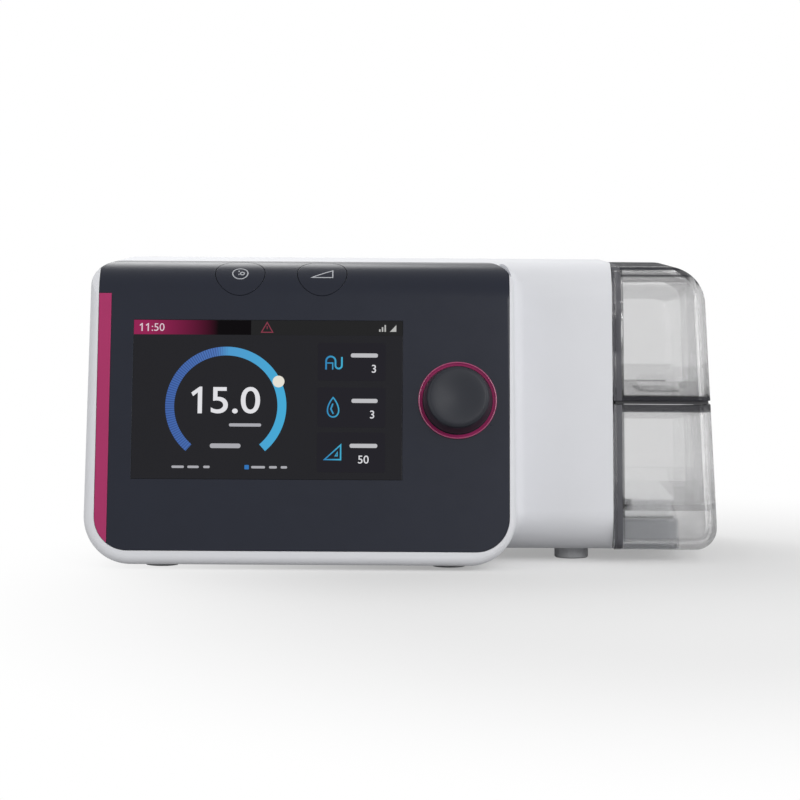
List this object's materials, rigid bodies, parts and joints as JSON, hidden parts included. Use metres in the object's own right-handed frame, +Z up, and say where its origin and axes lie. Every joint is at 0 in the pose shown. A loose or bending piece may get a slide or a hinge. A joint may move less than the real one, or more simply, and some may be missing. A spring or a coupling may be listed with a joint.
{
  "type": "cpap machine",
  "caption": "Bedside CPAP machine: a white casing with a leaning dark front panel, colour display, rotary knob and two soft buttons, and a clear lidded water tank docked at its right end.",
  "frame": {"origin": "on the ground under the centre of the machine's outline", "axes": "+X to the right seen from the front, +Y to the rear wall with the air outlet, +Z up"},
  "size_m": [0.258, 0.1782, 0.1225],
  "materials": {
    "white_plastic": "satin",
    "grey_plastic": "satin",
    "dark_plastic": "satin",
    "magenta_plastic": "satin",
    "display_cover": "clear",
    "display_module": "gloss",
    "clear_plastic": "clear",
    "black_rubber": "matte",
    "steel": "satin",
    "lamination": "satin",
    "magnet": "satin",
    "heat_metal": "satin",
    "circuit_board": "satin",
    "black_plastic": "satin",
    "card_plastic": "satin",
    "duct_plastic": "matte",
    "filter_media": "fibrous",
    "foam": "open cell",
    "ribbon": "satin"
  },
  "bodies": {
    "casing": {"casing_shell": "white_plastic", "base_plate": "grey_plastic", "heater_platform": "grey_plastic", "elbow_seat": "grey_plastic", "front_panel": "dark_plastic", "accent_stripe": "magenta_plastic", "knob_ring": "magenta_plastic", "display_window": "display_cover", "lcd_module": "display_module", "rubber_feet": "black_rubber", "port_seals": "black_rubber", "blower_mounts": "black_rubber", "elbow_oring": "black_rubber", "long_screws": "steel", "short_screws": "steel", "motor_bearings": "steel", "heater_springs": "steel", "lcd_bracket": "steel", "motor_stator": "lamination", "control_board": "circuit_board", "button_board": "circuit_board", "main_board": "circuit_board", "board_components": "black_plastic", "dc_jack": "black_plastic", "card_socket": "black_plastic", "tact_switches": "black_plastic", "encoder_body": "black_plastic", "button_carrier": "black_plastic", "flow_sensor": "black_plastic", "memory_card": "card_plastic", "inlet_box": "duct_plastic", "inlet_duct": "duct_plastic", "air_duct": "duct_plastic", "outlet_duct": "duct_plastic", "blower_housing_lower": "duct_plastic", "blower_housing_upper": "duct_plastic", "motor_cap": "duct_plastic", "air_filter": "filter_media", "muffler_foam": "foam", "display_flex": "ribbon", "wire_leads": "ribbon"},
    "knob_press": {"encoder_plunger": "black_plastic"},
    "knob": {"knob_cap": "dark_plastic", "encoder_shaft": "steel"},
    "power_button": {"power_button": "dark_plastic"},
    "ramp_button": {"ramp_button": "dark_plastic"},
    "rotor": {"impeller": "duct_plastic", "rotor_shaft": "steel", "rotor_magnet": "magnet"},
    "outlet_elbow": {"outlet_elbow": "white_plastic"},
    "filter_cover": {"filter_cover": "white_plastic"},
    "card_door": {"card_door": "white_plastic"},
    "heater": {"heater_plate": "heat_metal"},
    "tank": {"tank_tub": "clear_plastic", "tank_heat_plate": "heat_metal", "tank_hinge_pin": "steel"},
    "tank_lid": {"tank_lid": "clear_plastic", "tank_seal": "black_rubber", "tank_baffle": "clear_plastic"}
  },
  "joints": [
    {"name": "knob_push", "type": "slide", "parent": "casing", "child": "knob_press", "axis": [0, 0.9659, -0.2588], "range_m": [0, 0.0005], "stiffness_N_per_m": 1500, "springref_m": -0.0005},
    {"name": "knob_spin", "type": "hinge", "parent": "knob_press", "child": "knob", "pos_m": [0.0213, -0.07233, 0.06762], "axis": [0, -0.9659, 0.2588], "continuous": true},
    {"name": "power_button_press", "type": "slide", "parent": "casing", "child": "power_button", "axis": [0, 0.6428, -0.766], "range_m": [0, 0.0008], "stiffness_N_per_m": 700, "springref_m": -0.0005},
    {"name": "ramp_button_press", "type": "slide", "parent": "casing", "child": "ramp_button", "axis": [0, 0.6428, -0.766], "range_m": [0, 0.0008], "stiffness_N_per_m": 700, "springref_m": -0.0005},
    {"name": "blower_spin", "type": "hinge", "parent": "casing", "child": "rotor", "pos_m": [-0.005, 0.01156, 0.03], "axis": [0, 0, 1], "continuous": true},
    {"name": "tank_slide", "type": "slide", "parent": "casing", "child": "tank", "axis": [1, 0, 0], "range_m": [0, 0.06]},
    {"name": "tank_lid_open", "type": "hinge", "parent": "tank", "child": "tank_lid", "pos_m": [0.105, 0.06316, 0.06535], "axis": [-1, 0, 0], "range_deg": [0, 100]},
    {"name": "heater_press", "type": "slide", "parent": "casing", "child": "heater", "axis": [0, 0, -1], "range_m": [0, 0.0015], "stiffness_N_per_m": 900, "springref_m": -0.002, "deforming": ["heater_springs"]},
    {"name": "elbow_swivel", "type": "hinge", "parent": "casing", "child": "outlet_elbow", "pos_m": [0.044, 0.05956, 0.068], "axis": [0, 1, 0], "continuous": true},
    {"name": "filter_cover_open", "type": "hinge", "parent": "casing", "child": "filter_cover", "pos_m": [-0.085, 0.05831, 0.04655], "axis": [-1, 0, 0], "range_deg": [0, 90]},
    {"name": "card_door_open", "type": "hinge", "parent": "casing", "child": "card_door", "pos_m": [-0.102, 0.05831, 0.01215], "axis": [-1, 0, 0], "range_deg": [0, 90]}
  ]
}
